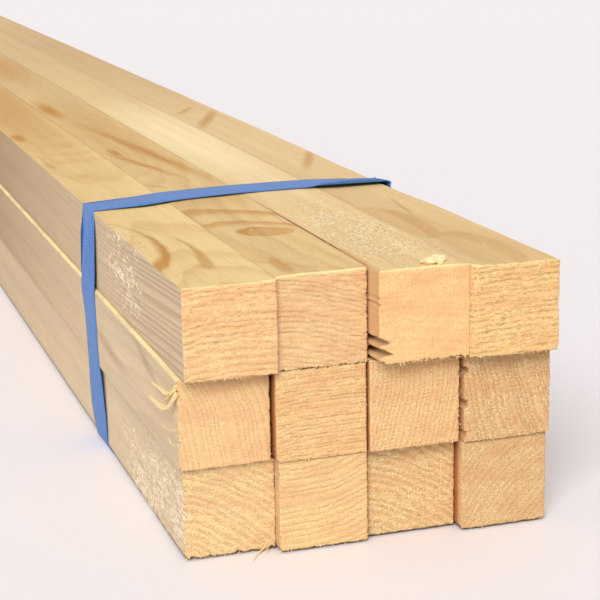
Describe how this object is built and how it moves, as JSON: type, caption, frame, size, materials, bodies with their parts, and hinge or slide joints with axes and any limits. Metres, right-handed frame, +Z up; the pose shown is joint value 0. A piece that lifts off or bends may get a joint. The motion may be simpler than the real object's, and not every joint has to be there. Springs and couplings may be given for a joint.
{
  "type": "bundle of pine studs",
  "caption": "Bundle of square sawn pine studs stacked in layers and tied with flat plastic straps, for framing and battening",
  "frame": {"origin": "under the middle of the whole bundle, on the surface that it rests on", "axes": "+X across the bundle to the right, +Y along the studs from the front ends to the far ends, +Z up"},
  "size_m": [0.1874, 2.4224, 0.1384],
  "materials": {
    "pine": "sawn",
    "strap": "embossed"
  },
  "bodies": {
    "root": {"stud_bottom_1": "pine", "stud_bottom_2": "pine", "stud_bottom_3": "pine", "stud_bottom_4": "pine", "stud_middle_1": "pine", "stud_middle_2": "pine", "stud_middle_3": "pine", "stud_middle_4": "pine", "stud_top_1": "pine", "stud_top_2": "pine", "stud_top_3": "pine", "stud_top_4": "pine", "strap_front": "strap", "strap_rear": "strap"}
  },
  "joints": []
}
